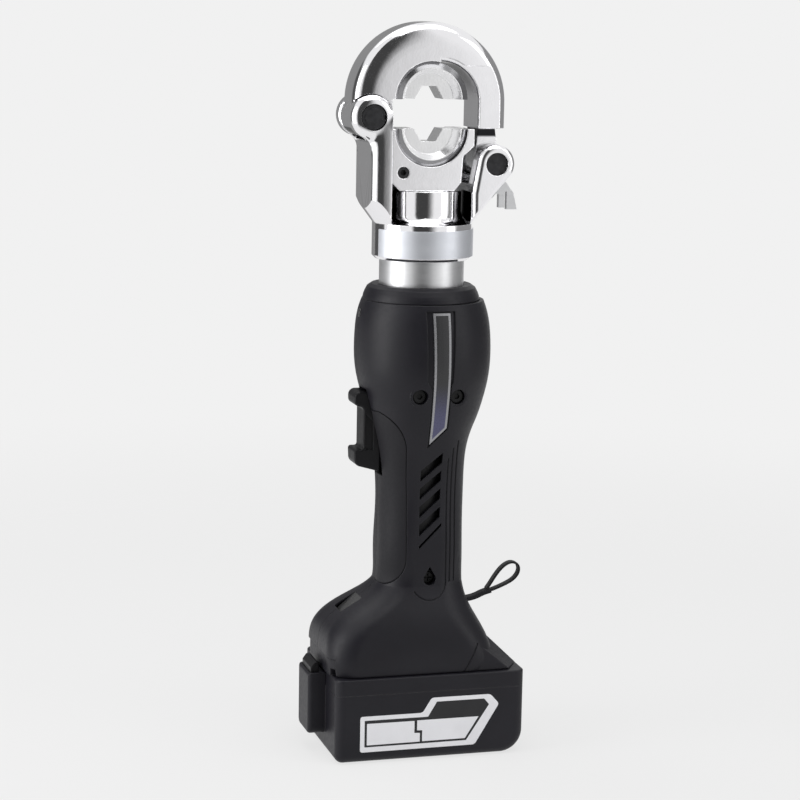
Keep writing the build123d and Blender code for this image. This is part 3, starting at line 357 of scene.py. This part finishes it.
# crimping head: bright chrome over a lightly uneven forging
chromeLook = {
    "tones": ((0.91, 0.905, 0.925), (0.95, 0.945, 0.965)),
    "patch": 55,
    "metal": 1.0,
    "rough": (0.06, 0.14),
    "roughScale": 240,
    "relief": ((150, 0.00004), (1100, 0.00001)),
    "edge": 0.0008,
    "wear": ((0.97, 0.97, 0.98), 0.5),
    # painted shade in the narrow gaps of the chrome
    "gapShade": (0.012, (0.03, 0.03, 0.034)),
}
yokeLook = {
    **chromeLook,
    "crown": {
        "edges": ({"line": -0.0338, "top": 0.357}, {"centre": (-0.034, 0.355), "radius": 0.0118}),
        "join": 0.012,
        "profile": ((0, 88), (0.25, 62), (1.4, 46), (2.0, 28), (3.4, 18), (4.8, 9), (6.2, 5), (8.6, 3),
                    (10.2, 0), (11.6, 0)),
        "above": (0.299, 0.303),
        "cone": (0.316, 0.320),
        "leftOf": (-0.0226, -0.0222),
    },
    # painted shade filling the hollow of the hinge eye
    "pocket": ((-0.034, 0.355), 0.0072, (0.02, 0.02, 0.022)),
}
jawLook = {
    **chromeLook,
    # painted shade: a dark band on the jaw's tongue just below its leg
    "shade": ((0.3438, 0.3452, 0.3482, 0.3493), (0.02, 0.02, 0.022)),
    "crown": {
        "edges": ({"centre": (0.0, 0.3627), "radius": 0.0433, "straight": True},),
        "profile": ((0, 88), (0.25, 80), (0.7, 68), (1.3, 56), (2.2, 44), (3.0, 27), (5.0, 19), (8.0, 9),
                    (11.0, 2), (14.3, 0)),
        "above": (0.3485, 0.3495),
        "leftOf": (-0.008, 0.034),
    },
}
dieLook = {
    "tones": ((0.90, 0.90, 0.91), (0.97, 0.97, 0.975)),
    "patch": 90,
    "metal": 0.85,
    "rough": (0.10, 0.18),
    "stretch": (1, 6, 1),
    "relief": ((900, 0.00002),),
    "edge": 0.0005,
}
# painted dark reflection: a grey ring on each die's sloping rim
dieRimShade = {
    "heights": {"upper_die": 0.3645, "lower_die": 0.3485},  # the middle of each die's circle
    "radius": 0.0204,
    "width": 0.0036,
    "tone": (0.30, 0.30, 0.31),
}
satinLook = {
    "tones": ((0.66, 0.665, 0.675), (0.72, 0.725, 0.735)),
    "patch": 70,
    "metal": 1.0,
    "rough": (0.36, 0.42),
    "stretch": (1, 1, 5),
    "roughScale": 160,
    "relief": ((700, 0.000004),),
    "edge": 0.0004,
}
ramLook = {
    "tones": ((0.74, 0.745, 0.76), (0.80, 0.805, 0.815)),
    "patch": 60,
    "metal": 1.0,
    "rough": (0.07, 0.13),
    "stretch": (1, 1, 3),
    "roughScale": 200,
    "relief": ((700, 0.000004),),
    "edge": 0.0004,
    # painted dark reflection on the ram's foot where it enters the head
    "shade": ((0.20, 0.21, 0.2985, 0.3005), (0.03, 0.032, 0.036)),
}
darkSteelLook = {
    "tones": ((0.016, 0.016, 0.018), (0.035, 0.035, 0.038)),
    "patch": 400,
    "metal": 0.35,
    "rough": (0.34, 0.52),
    "relief": ((2400, 0.00001),),
    "edge": 0.0004,
    "wear": ((0.16, 0.16, 0.165), 0.35),
}
# blackened steel set near black: partly its own colour, partly painted shade for the deep wells the screws
# sit in
wellShadeBlackLook = {
    "tones": ((0.004, 0.004, 0.0045), (0.008, 0.008, 0.009)),
    "patch": 500,
    "gloss": 0.3,
    "rough": (0.4, 0.56),
    "relief": ((2600, 0.00001),),
    "edge": 0.0003,
}
bandLook = {
    "tones": ((0.68, 0.70, 0.745), (0.73, 0.75, 0.795)),
    "patch": 40,
    "metal": 0.8,
    "rough": (0.42, 0.48),
    "stretch": (1, 1, 3),
    "relief": ((1400, 0.000004),),
    "edge": 0.0002,
}
chrome = makeFinish("chromeForging", chromeLook)
dieSteel = makeFinish("groundDie", dieLook)
satinSteel = makeFinish("satinNeck", satinLook)
darkSteel = makeFinish("blackedSteel", darkSteelLook)
bandFinish = makeFinish("silverBand", bandLook)
dress(chrome, "ram_saddle")
dress(makeFinish("chromeYoke", yokeLook), "yoke")
dress(makeFinish("chromeJaw", jawLook), "upper_jaw")
for name, height in dieRimShade["heights"].items():
    rim = ((0.0, height), dieRimShade["radius"], dieRimShade["width"], dieRimShade["tone"])
    dress(makeFinish("rimShaded_" + name, {**dieLook, "rim": rim}), name)
dress(satinSteel, "neck_cylinder", "latch_lever", "swivel_ring", "spring_rod")
dress(makeFinish("polishedRam", ramLook), "ram_piston")
dress(darkSteel, "hinge_pin", "hinge_clips", "latch_pin", "lower_die_screw")
dress(makeFinish("wellShadeBlackScrew", wellShadeBlackLook), "pump_screws", "grip_screw", "battery_screws")
dress(bandFinish, "head_band")
print("head dressed")


# body: black moulded plastic with a fine spark texture, a parting line down the middle and rubber pads
seam = {"edges": (0.0001, 0.0004), "depth": 0.0004}  # metres from the middle, and how deep it looks


def partingLine(tree):
    sideways = mathNode(tree, "ABSOLUTE", splitVector(tree, placeOf(tree))[1])
    return remap(tree, sideways, *seam["edges"], 0.0, 1.0, smooth=True)


plasticLook = {
    "tones": ((0.0078, 0.0073, 0.0108), (0.0108, 0.0102, 0.0145)),
    "patch": 38,
    "gloss": 0.28,
    "rough": (0.38, 0.50),
    "roughScale": 500,
    "relief": ((3600, 0.000035),),
    "edge": 0.0009,
    "wear": ((0.04, 0.04, 0.042), 0.3),
}
batteryLook = {
    "tones": ((0.0082, 0.0077, 0.0114), (0.0115, 0.0109, 0.0155)),
    "patch": 30,
    "gloss": 0.28,
    "rough": (0.40, 0.52),
    "roughScale": 450,
    "relief": ((3000, 0.00004),),
    "edge": 0.0011,
    "wear": ((0.06, 0.06, 0.062), 0.4),
}
padLook = {
    "tones": ((0.0080, 0.0076, 0.0104), (0.0108, 0.0103, 0.0136)),
    "patch": 45,
    "gloss": 0.28,
    "rough": (0.52, 0.66),
    "roughScale": 700,
    "relief": ((4200, 0.00003), (900, 0.00001)),
    "edge": 0.0009,
    "sheen": 0.04,
}
# painted shade: a darker copy of the body plastic that tones down the trigger where the left lamp lights it
# strongly
shadedTriggerLook = {
    "tones": ((0.0050, 0.0048, 0.0060), (0.0072, 0.0070, 0.0084)),
    "patch": 80,
    "gloss": 0.2,
    "rough": (0.34, 0.46),
    "relief": ((3200, 0.00002),),
    "edge": 0.0010,
    "wear": ((0.06, 0.06, 0.06), 0.3),
}
windowLook = {
    "tones": ((0.030, 0.030, 0.031), (0.045, 0.045, 0.046)),
    "patch": 60,
    "gloss": 0.4,
    "rough": (0.22, 0.34),
    "relief": ((900, 0.000006),),
    "edge": 0.0005,
    "coat": 0.3,
}
lensLook = {
    "tones": ((0.012, 0.012, 0.013), (0.03, 0.03, 0.031)),
    "patch": 300,
    "gloss": 0.35,
    "rough": (0.16, 0.26),
    "relief": ((1500, 0.00001),),
    "edge": 0.0004,
    "coat": 0.15,
}
housingPlastic = makeFinish("housingPlastic", plasticLook, partingLine)
batteryPlastic = makeFinish("batteryPlastic", batteryLook)
padRubber = makeFinish("padRubber", padLook, partingLine)
triggerPlastic = makeFinish("triggerPlastic", shadedTriggerLook)
smokedWindow = makeFinish("smokedWindow", windowLook)
lampLens = makeFinish("lampLens", lensLook)
dress(housingPlastic, "housing_left", "housing_right", "nose_collar")
dress(batteryPlastic, "battery_base", "battery_cover")
dress(padRubber, "grip_pad_left", "grip_pad_right")
dress(triggerPlastic, "trigger", "battery_button", "trigger_switch", "terminal_block", "motor_endcap",
      "cell_holders")
dress(smokedWindow, "indicator_lens")
dress(lampLens, "work_light_lens")
print("body dressed")

# name strip: a bare strip with a silver frame, black above and violet blue below
stripLook = {
    "corners": ((-3.0, 250.5), (6.7, 250.5), (7.7, 186.1), (-1.0, 176.6)),
    "frame": 1.25,
    "frameTones": ((0.27, 0.27, 0.285), (0.36, 0.36, 0.375)),
    "upper": (0.006, 0.006, 0.008),
    "lower": (0.055, 0.055, 0.135),
    "fade": (0.214, 0.188),  # heights between which black turns into violet blue
    "rough": (0.22, 0.36),
    "frameMetal": 0.7,
    "frameRise": 0.00012,
    "grain": 900,
    "gloss": 0.5,
    "coat": 0.4,
    "coatRough": 0.12,
}


def makeStrip(look):
    finish, tree, shader = startFinish("nameStrip", look)
    place = placeOf(tree)
    placeX, _, placeZ = splitVector(tree, place)
    corners = look["corners"]
    nearest = None
    for first, second in zip(corners, corners[1:] + corners[:1]):
        runX, runZ = second[0] - first[0], second[1] - first[1]
        length = math.hypot(runX, runZ)
        inX, inZ = runZ / length, -runX / length
        offset = (first[0] * inX + first[1] * inZ) / 1000
        reached = mathNode(tree, "ADD", product(tree, placeX, inX), product(tree, placeZ, inZ))
        inside = mathNode(tree, "ABSOLUTE", mathNode(tree, "SUBTRACT", reached, offset))
        nearest = inside if nearest is None else mathNode(tree, "MINIMUM", nearest, inside)
    width = look["frame"] / 1000
    framed = remap(tree, nearest, width * 0.94, width * 1.06, 1.0, 0.0, smooth=True)
    fade = remap(tree, placeZ, *look["fade"], 0.0, 1.0, smooth=True)
    ink = blendColours(tree, fade, look["upper"], look["lower"])
    grain = noise(tree, place, look["grain"], 5.0)
    silver = blendColours(tree, grain, *look["frameTones"])
    wire(tree, blendColours(tree, framed, ink, silver), shader.inputs["Base Color"])
    wire(tree, remap(tree, grain, 0.2, 0.8, *look["rough"]), shader.inputs["Roughness"])
    wire(tree, product(tree, framed, look["frameMetal"]), shader.inputs["Metallic"])
    normal = addRelief(tree, framed, look["frameRise"])
    wire(tree, addRelief(tree, grain, 0.00001, normal), shader.inputs["Normal"])
    return finish


dress(makeStrip(stripLook), "name_plate")
print("name strip dressed")

# works inside: seen through the vents and when the battery is off
castLook = {
    "tones": ((0.42, 0.425, 0.43), (0.52, 0.525, 0.53)),
    "patch": 120,
    "metal": 0.9,
    "rough": (0.34, 0.5),
    "relief": ((1500, 0.00003),),
    "edge": 0.0005,
}
sealLook = {
    "tones": ((0.010, 0.010, 0.010), (0.016, 0.016, 0.016)),
    "patch": 150,
    "gloss": 0.35,
    "rough": (0.5, 0.65),
    "relief": ((2600, 0.00002),),
    "edge": 0.0005,
}
copperLook = {
    "tones": ((0.55, 0.25, 0.11), (0.70, 0.34, 0.17)),
    "patch": 500,
    "metal": 0.9,
    "rough": (0.25, 0.42),
    "stretch": (1, 1, 0.15),
    "relief": ((2600, 0.00012),),
    "edge": 0.0003,
}
bladeLook = {
    "tones": ((0.62, 0.55, 0.38), (0.74, 0.67, 0.48)),
    "patch": 300,
    "metal": 1.0,
    "rough": (0.2, 0.32),
    "stretch": (0.2, 1, 1),
    "relief": ((1800, 0.00001),),
    "edge": 0.0002,
}
boardLook = {
    "tones": ((0.006, 0.045, 0.016), (0.012, 0.085, 0.03)),
    "patch": 320,
    "gloss": 0.5,
    "rough": (0.28, 0.42),
    "relief": ((1100, 0.00004),),
    "edge": 0.0003,
}
sleeveLook = {
    "tones": ((0.012, 0.12, 0.10), (0.02, 0.16, 0.13)),
    "patch": 60,
    "gloss": 0.5,
    "rough": (0.24, 0.36),
    "relief": ((700, 0.00002),),
    "edge": 0.0004,
}
dress(makeFinish("castAlloy", castLook), "pump_body")
# painted shade: the can and gear case take the near-black screw finish so the inside of the vents reads dark
dress(makeFinish("ventShadeBlackCan", wellShadeBlackLook), "motor_can", "gear_case")
dress(makeFinish("sealRubber", sealLook), "piston_seal", "oil_bladder")
dress(makeFinish("woundCopper", copperLook), "armature")
dress(makeFinish("contactBrass", bladeLook), "terminal_blades", "battery_contacts")
dress(makeFinish("circuitBoard", boardLook), "control_board", "battery_board")
dress(makeFinish("cellSleeve", sleeveLook), "battery_cells")
dress(dieSteel, "main_bearing", "eccentric_bearing", "pump_plunger",
      "planet_carrier", "planet_gear_1", "planet_gear_2", "planet_gear_3", "sun_gear", "motor_shaft")
dress(darkSteel, "motor_magnets")
print("works dressed")

# coil springs: copies of the solids in their own finish, carried by their bodies while the solids are hidden
coils = {
    "return_coil": {"node": "return_spring", "body": "tool", "joint": "ram_slide",
                    "fixedEnd": 0.288, "keep": 0.605},
    "button_coil": {"node": "button_spring", "body": "battery", "joint": "button_slide",
                    "fixedEnd": 0.0301, "keep": 0.51},
}


def makeCoils(settings, finish):
    for name, coil in settings.items():
        solid = solids[coil["node"]]
        piece = linkUp(name, solid.data.copy())
        piece.matrix_world = solid.matrix_world
        piece.data.materials.clear()
        piece.data.materials.append(finish)
        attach(piece, coil["body"])
        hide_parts(coil["node"])
        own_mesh(piece)


makeCoils(coils, dieSteel)
print("coils made")

# battery badge: four bare layers on the battery's left side, in millimetres along x and z
badge = {
    "face": -37.5,
    "bevel": 0.04,
    "cornerSteps": 6,
    "layers": {
        "badge_rim": {
            "outline": ((-41.0, 6.4), (25.5, 6.6), (39.4, 29.6), (34.2, 35.4), (0.0, 35.4), (-5.2, 27.0),
                        (-41.0, 27.0)),
            "corner": 1.6,
            "height": 0.16,
            "tone": "pale",
        },
        "badge_line": {
            "outline": ((-38.5, 9.3), (20.4, 9.5), (33.5, 29.5), (30.6, 33.0), (3.0, 33.0), (-2.0, 24.6),
                        (-38.5, 24.6)),
            "corner": 0.4,
            "height": 0.22,
            "tone": "black",
        },
        "badge_left": {
            "outline": ((-37.2, 10.4), (-6.6, 10.5), (-6.6, 15.6), (-9.8, 15.7), (-9.8, 22.7), (-37.2, 22.8)),
            "corner": 0.25,
            "height": 0.28,
            "tone": "pale",
        },
        "badge_right": {
            "outline": ((-5.3, 10.6), (19.7, 10.7), (27.5, 22.9), (-8.3, 22.9), (-8.3, 17.1), (-5.3, 17.0)),
            "corner": 0.25,
            "height": 0.28,
            "tone": "pale",
        },
    },
}
paleLook = {
    "tones": ((0.86, 0.86, 0.89), (0.92, 0.92, 0.95)),
    "patch": 70,
    "gloss": 0.4,
    "rough": (0.32, 0.44),
    "relief": ((1600, 0.000008),),
    "edge": 0.0002,
}
inkLook = {
    "tones": ((0.010, 0.010, 0.012), (0.016, 0.016, 0.018)),
    "patch": 90,
    "gloss": 0.4,
    "rough": (0.30, 0.42),
    "relief": ((1600, 0.000008),),
    "edge": 0.0002,
}


def roundCorners(outline, radius, steps):
    rounded = []
    for number, corner in enumerate(outline):
        here = Vector(corner)
        back = Vector(outline[number - 1]) - here
        ahead = Vector(outline[(number + 1) % len(outline)]) - here
        cut = min(radius, 0.45 * back.length, 0.45 * ahead.length)  # never half a side or more
        start, end = here + back.normalized() * cut, here + ahead.normalized() * cut
        for step in range(steps + 1):
            t = step / steps
            rounded.append(start * (1 - t) ** 2 + here * 2 * t * (1 - t) + end * t ** 2)
    return rounded


def makeBadge(settings, tones):
    for name, layer in settings["layers"].items():
        mesh = bpy.data.meshes.new(name)
        work = bmesh.new()
        outline = roundCorners(layer["outline"], layer["corner"], settings["cornerSteps"])
        work.faces.new([work.verts.new((x / 1000, settings["face"] / 1000, z / 1000)) for x, z in outline])
        lifted = bmesh.ops.extrude_face_region(work, geom=work.faces[:])
        top = [item for item in lifted["geom"] if isinstance(item, bmesh.types.BMVert)]
        bmesh.ops.translate(work, verts=top, vec=(0, -layer["height"] / 1000, 0))
        bmesh.ops.recalc_face_normals(work, faces=work.faces[:])
        rim = [edge for edge in work.edges if all(vert in top for vert in edge.verts)]
        bmesh.ops.bevel(work, geom=rim, offset=settings["bevel"] / 1000, segments=2, affect="EDGES")
        work.to_mesh(mesh)
        work.free()
        piece = linkUp(name, mesh)
        mesh.materials.append(tones[layer["tone"]])
        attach(piece, "battery")


makeBadge(badge, {"pale": makeFinish("paleBadge", paleLook), "black": makeFinish("inkBadge", inkLook)})
print("badge made")

# wrist strap: a narrow woven ribbon on the route of the part's source, x and z in millimetres
strap = {
    "route": ((21.5, 80.6), (28.0, 81.0), (35.0, 82.2), (40.5, 84.6), (46.0, 86.0), (52.6, 88.5),
              (58.6, 91.5), (61.7, 96.0), (60.9, 100.4), (56.4, 102.0), (51.6, 99.4), (47.6, 94.6),
              (44.6, 89.8), (42.2, 86.4)),
    "width": 0.0046,
    "thickness": 0.0015,
    "length": 0.0742,
    "exit": (0.0215, 0.0, 0.0806),
    "sides": 16,  # of the ribbon's section
    "threads": (7, 95),  # across and along the ribbon
    "threadDepth": 0.00014,
    "fuzz": 5200,
    "rough": (0.7, 0.9),
    "tones": ((0.006, 0.006, 0.0065), (0.014, 0.014, 0.015)),
    "sheen": 0.25,
    "gloss": 0.25,
}


def routeOf(settings):
    line = bpy.data.curves.new("strapRoute", "CURVE")
    line.dimensions = "3D"
    spline = line.splines.new("NURBS")
    spline.points.add(len(settings["route"]) - 1)
    for point, (x, z) in zip(spline.points, settings["route"]):
        point.co = (x / 1000, 0, z / 1000, 1)
    spline.order_u = 3
    spline.use_endpoint_u = True
    spline.resolution_u = 10
    holder = linkUp("strapRoute", line)
    bpy.context.view_layer.update()
    followed = bpy.data.meshes.new_from_object(holder)
    points = []
    for vert in followed.vertices:
        if not points or (vert.co - points[-1]).length > 0.0001:
            points.append(Vector(vert.co))
    bpy.data.objects.remove(holder)
    bpy.data.meshes.remove(followed)
    return points


def makeWebbing(settings):
    finish, tree, shader = startFinish("strapWebbing", settings)
    spots = splitVector(tree, addNode(tree, "ShaderNodeUVMap").outputs[0])
    over, along = (mathNode(tree, "SINE", product(tree, spot, 2 * math.pi * count))
                   for spot, count in zip(spots, settings["threads"]))
    weave = remap(tree, product(tree, over, along), -1.0, 1.0, 0.0, 1.0)
    fuzz = noise(tree, placeOf(tree), settings["fuzz"], 3.0)
    shade = product(tree, weave, remap(tree, fuzz, 0.3, 0.7, 0.5, 1.0))
    wire(tree, blendColours(tree, shade, *settings["tones"]), shader.inputs["Base Color"])
    wire(tree, remap(tree, fuzz, 0.3, 0.7, *settings["rough"]), shader.inputs["Roughness"])
    wire(tree, addRelief(tree, shade, settings["threadDepth"]), shader.inputs["Normal"])
    return finish


def ribbonSection(settings):  # a flat oval that is a little thicker toward its two edges
    halfWide, halfThick = settings["width"] / 2, settings["thickness"] / 2
    section = []
    for step in range(settings["sides"]):
        turn = 2 * math.pi * step / settings["sides"]
        c, s = math.cos(turn), math.sin(turn)
        wide = math.copysign(abs(c) ** 0.35, c) * halfWide
        thick = math.copysign(abs(s) ** 0.55, s) * halfThick * (0.86 + 0.14 * abs(c))
        section.append((wide, thick))
    return section


def makeStrap(settings):
    points = routeOf(settings)
    section = ribbonSection(settings)
    side = Vector((0, 1, 0))
    work = bmesh.new()
    uv = work.loops.layers.uv.new("thread")
    rings = []
    for number, point in enumerate(points):
        before = points[max(number - 1, 0)]
        after = points[min(number + 1, len(points) - 1)]
        up = (after - before).cross(side).normalized()
        rings.append([work.verts.new(point + side * wide + up * thick) for wide, thick in section])
    count = len(section)
    for number in range(len(rings) - 1):
        for step in range(count):
            nextStep = (step + 1) % count
            corners = (rings[number][step], rings[number][nextStep],
                       rings[number + 1][nextStep], rings[number + 1][step])
            face = work.faces.new(corners)
            face.smooth = True
            for loop, across, onward in zip(face.loops, (step, step + 1, step + 1, step), (0, 0, 1, 1)):
                loop[uv].uv = (across / count * 2, (number + onward) / (len(rings) - 1))
    work.faces.new(rings[0][::-1])
    work.faces.new(rings[-1])
    bmesh.ops.recalc_face_normals(work, faces=work.faces[:])
    mesh = bpy.data.meshes.new("strap_ribbon")
    work.to_mesh(mesh)
    work.free()
    mesh.materials.append(makeWebbing(settings))
    ribbon = linkUp("strap_ribbon", mesh)
    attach(ribbon, "tool")
    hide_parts("wrist_strap")


makeStrap(strap)
dress(padRubber, "strap_ferrule")
print("strap made")

# studio: pale floor and world, soft lamps, and cards that only the bright metal sees
studio = {
    "paper": (0.879, 0.879, 0.879),
    "floorTone": (0.80, 0.80, 0.80),
    "floorGlow": 0.80,
    "floorFade": (0.35, 1.1),  # metres from the tool, over which the floor fades into the backdrop
    "worldLevel": 0.5,
    "floorSize": 12.0,
    "floorDrop": 0.0002,  # a hair below the battery's base
    "aim": (0.0, 0.0, 0.23),
    "lamps": {
        "leftBox": {"turn": 84, "rise": 10, "far": 0.95, "size": (0.5, 1.0), "power": 5.4},
        "rightBox": {"turn": -52, "rise": 16, "far": 1.05, "size": (0.35, 1.0), "power": 1.6},
        "topBox": {"turn": -20, "rise": 72, "far": 1.1, "size": (0.8, 0.8), "power": 4.0},
        "backBox": {"turn": 150, "rise": 64, "far": 1.3, "size": (0.6, 0.6), "power": 2.4},
    },
    # span: reach to the left and the right in metres; fade: soft edge at the left, right, foot and top
    "cards": {
        "cardCamera": {"turn": 18, "rise": 0, "far": 0.8, "span": (0.34, 0.66), "tall": 1.9, "middle": 0.79,
                       "fade": (0.12, 0.46, 0.05, 0.6), "tone": 0.05},
        "cardFlag": {"turn": 132, "rise": 0, "far": 0.8, "span": (0.44, 0.34), "tall": 0.78, "middle": 0.51,
                     "fade": (0.2, 0.08, 0.04, 0.2), "tone": 0.08},
        "cardLeft": {"turn": 177, "rise": 8, "far": 2.4, "span": (1.0, 1.05), "tall": 2.6, "middle": 0.23,
                     "fade": (0.3, 0.25, 0.1, 0.1), "tone": 0.26},
        "cardRight": {"turn": -107, "rise": 8, "far": 2.4, "span": (2.4, 1.5), "tall": 2.6, "middle": 0.23,
                      "fade": (0.7, 0.5, 0.1, 0.1), "tone": 0.26},
    },
}


def aimed(turn, rise, far, target):
    a, e = math.radians(turn), math.radians(rise)
    away = Vector((-math.sin(a) * math.cos(e), -math.cos(a) * math.cos(e), math.sin(e)))
    facing = away.to_track_quat("Z", "Y").to_matrix().to_4x4()
    return Matrix.Translation(Vector(target) + away * far) @ facing


def lookedAt(tree):
    path = addNode(tree, "ShaderNodeLightPath")
    seen = mathNode(tree, "ADD", path.outputs["Is Camera Ray"], path.outputs["Is Glossy Ray"], clamp=True)
    return mathNode(tree, "ADD", seen, path.outputs["Is Transmission Ray"], clamp=True)


def mixShaders(tree, factor, first, second):
    either = addNode(tree, "ShaderNodeMixShader")
    wire(tree, factor, either.inputs[0])
    wire(tree, first.outputs[0], either.inputs[1])
    wire(tree, second.outputs[0], either.inputs[2])
    return either


def startStage(name, corners):
    mesh = bpy.data.meshes.new(name)
    mesh.from_pydata(corners, [], [(0, 1, 2, 3)])
    finish = bpy.data.materials.new(name)
    finish.use_nodes = True
    finish.node_tree.nodes.clear()
    mesh.materials.append(finish)
    return linkUp(name, mesh), finish.node_tree


def flatCorners(left, right, low, high):
    return [(left, low, 0), (right, low, 0), (right, high, 0), (left, high, 0)]


def makeWorld(setup):
    world = bpy.data.worlds.new("studioWorld")
    bpy.context.scene.world = world
    world.use_nodes = True
    tree = world.node_tree
    tree.nodes.clear()
    soft = addNode(tree, "ShaderNodeBackground")
    soft.inputs[0].default_value = (1, 1, 1, 1)
    soft.inputs[1].default_value = setup["worldLevel"]
    paper = addNode(tree, "ShaderNodeBackground")
    paper.inputs[0].default_value = (*setup["paper"], 1)
    whole = mixShaders(tree, lookedAt(tree), soft, paper)
    wire(tree, whole.outputs[0], addNode(tree, "ShaderNodeOutputWorld").inputs[0])


def makeFloor(setup):
    half = setup["floorSize"] / 2
    floor, tree = startStage("studioFloor", flatCorners(-half, half, -half, half))
    floor.location.z = -setup["floorDrop"]
    matt = addNode(tree, "ShaderNodeBsdfDiffuse")
    matt.inputs[0].default_value = (*setup["floorTone"], 1)
    glow = addNode(tree, "ShaderNodeEmission")
    glow.inputs[0].default_value = (*setup["paper"], 1)
    clear = addNode(tree, "ShaderNodeBsdfTransparent")
    near = mixShaders(tree, product(tree, lookedAt(tree), setup["floorGlow"]), matt, glow)
    spot = addNode(tree, "ShaderNodeNewGeometry")
    reach = addNode(tree, "ShaderNodeVectorMath", operation="LENGTH")
    wire(tree, spot.outputs["Position"], reach.inputs[0])
    away = remap(tree, reach.outputs["Value"], *setup["floorFade"], 0.0, 1.0, smooth=True)
    whole = mixShaders(tree, away, near, clear)
    wire(tree, whole.outputs[0], addNode(tree, "ShaderNodeOutputMaterial").inputs[0])


def makeLamps(setup):
    for name, lamp in setup["lamps"].items():
        light = bpy.data.lights.new(name, "AREA")
        light.shape = "RECTANGLE"
        light.size, light.size_y = lamp["size"]
        light.energy = lamp["power"]
        holder = linkUp(name, light)
        holder.matrix_world = aimed(lamp["turn"], lamp["rise"], lamp["far"], setup["aim"])


def makeCards(setup):
    for name, card in setup["cards"].items():
        left, right = -card["span"][0], card["span"][1]
        tall = card["tall"] / 2
        holder, tree = startStage(name, flatCorners(left, right, -tall, tall))
        holder.matrix_world = aimed(card["turn"], card["rise"], card["far"], (0, 0, card["middle"]))
        holder.visible_camera = False
        holder.visible_diffuse = False
        holder.visible_shadow = False
        glow = addNode(tree, "ShaderNodeEmission")
        glow.inputs[0].default_value = (card["tone"], card["tone"], card["tone"], 1)
        clear = addNode(tree, "ShaderNodeBsdfTransparent")
        across, upward, _ = splitVector(tree, placeOf(tree))
        fade = card["fade"]
        dense = product(
            tree,
            remap(tree, across, left, left + fade[0], 0.0, 1.0, smooth=True),
            remap(tree, across, right - fade[1], right, 1.0, 0.0, smooth=True),
            remap(tree, upward, -tall, fade[2] - tall, 0.0, 1.0, smooth=True),
            remap(tree, upward, tall - fade[3], tall, 1.0, 0.0, smooth=True),
        )
        whole = mixShaders(tree, dense, clear, glow)
        wire(tree, whole.outputs[0], addNode(tree, "ShaderNodeOutputMaterial").inputs[0])


makeWorld(studio)
makeFloor(studio)
makeLamps(studio)
makeCards(studio)
bpy.context.scene.view_settings.view_transform = "Standard"
print("studio set")
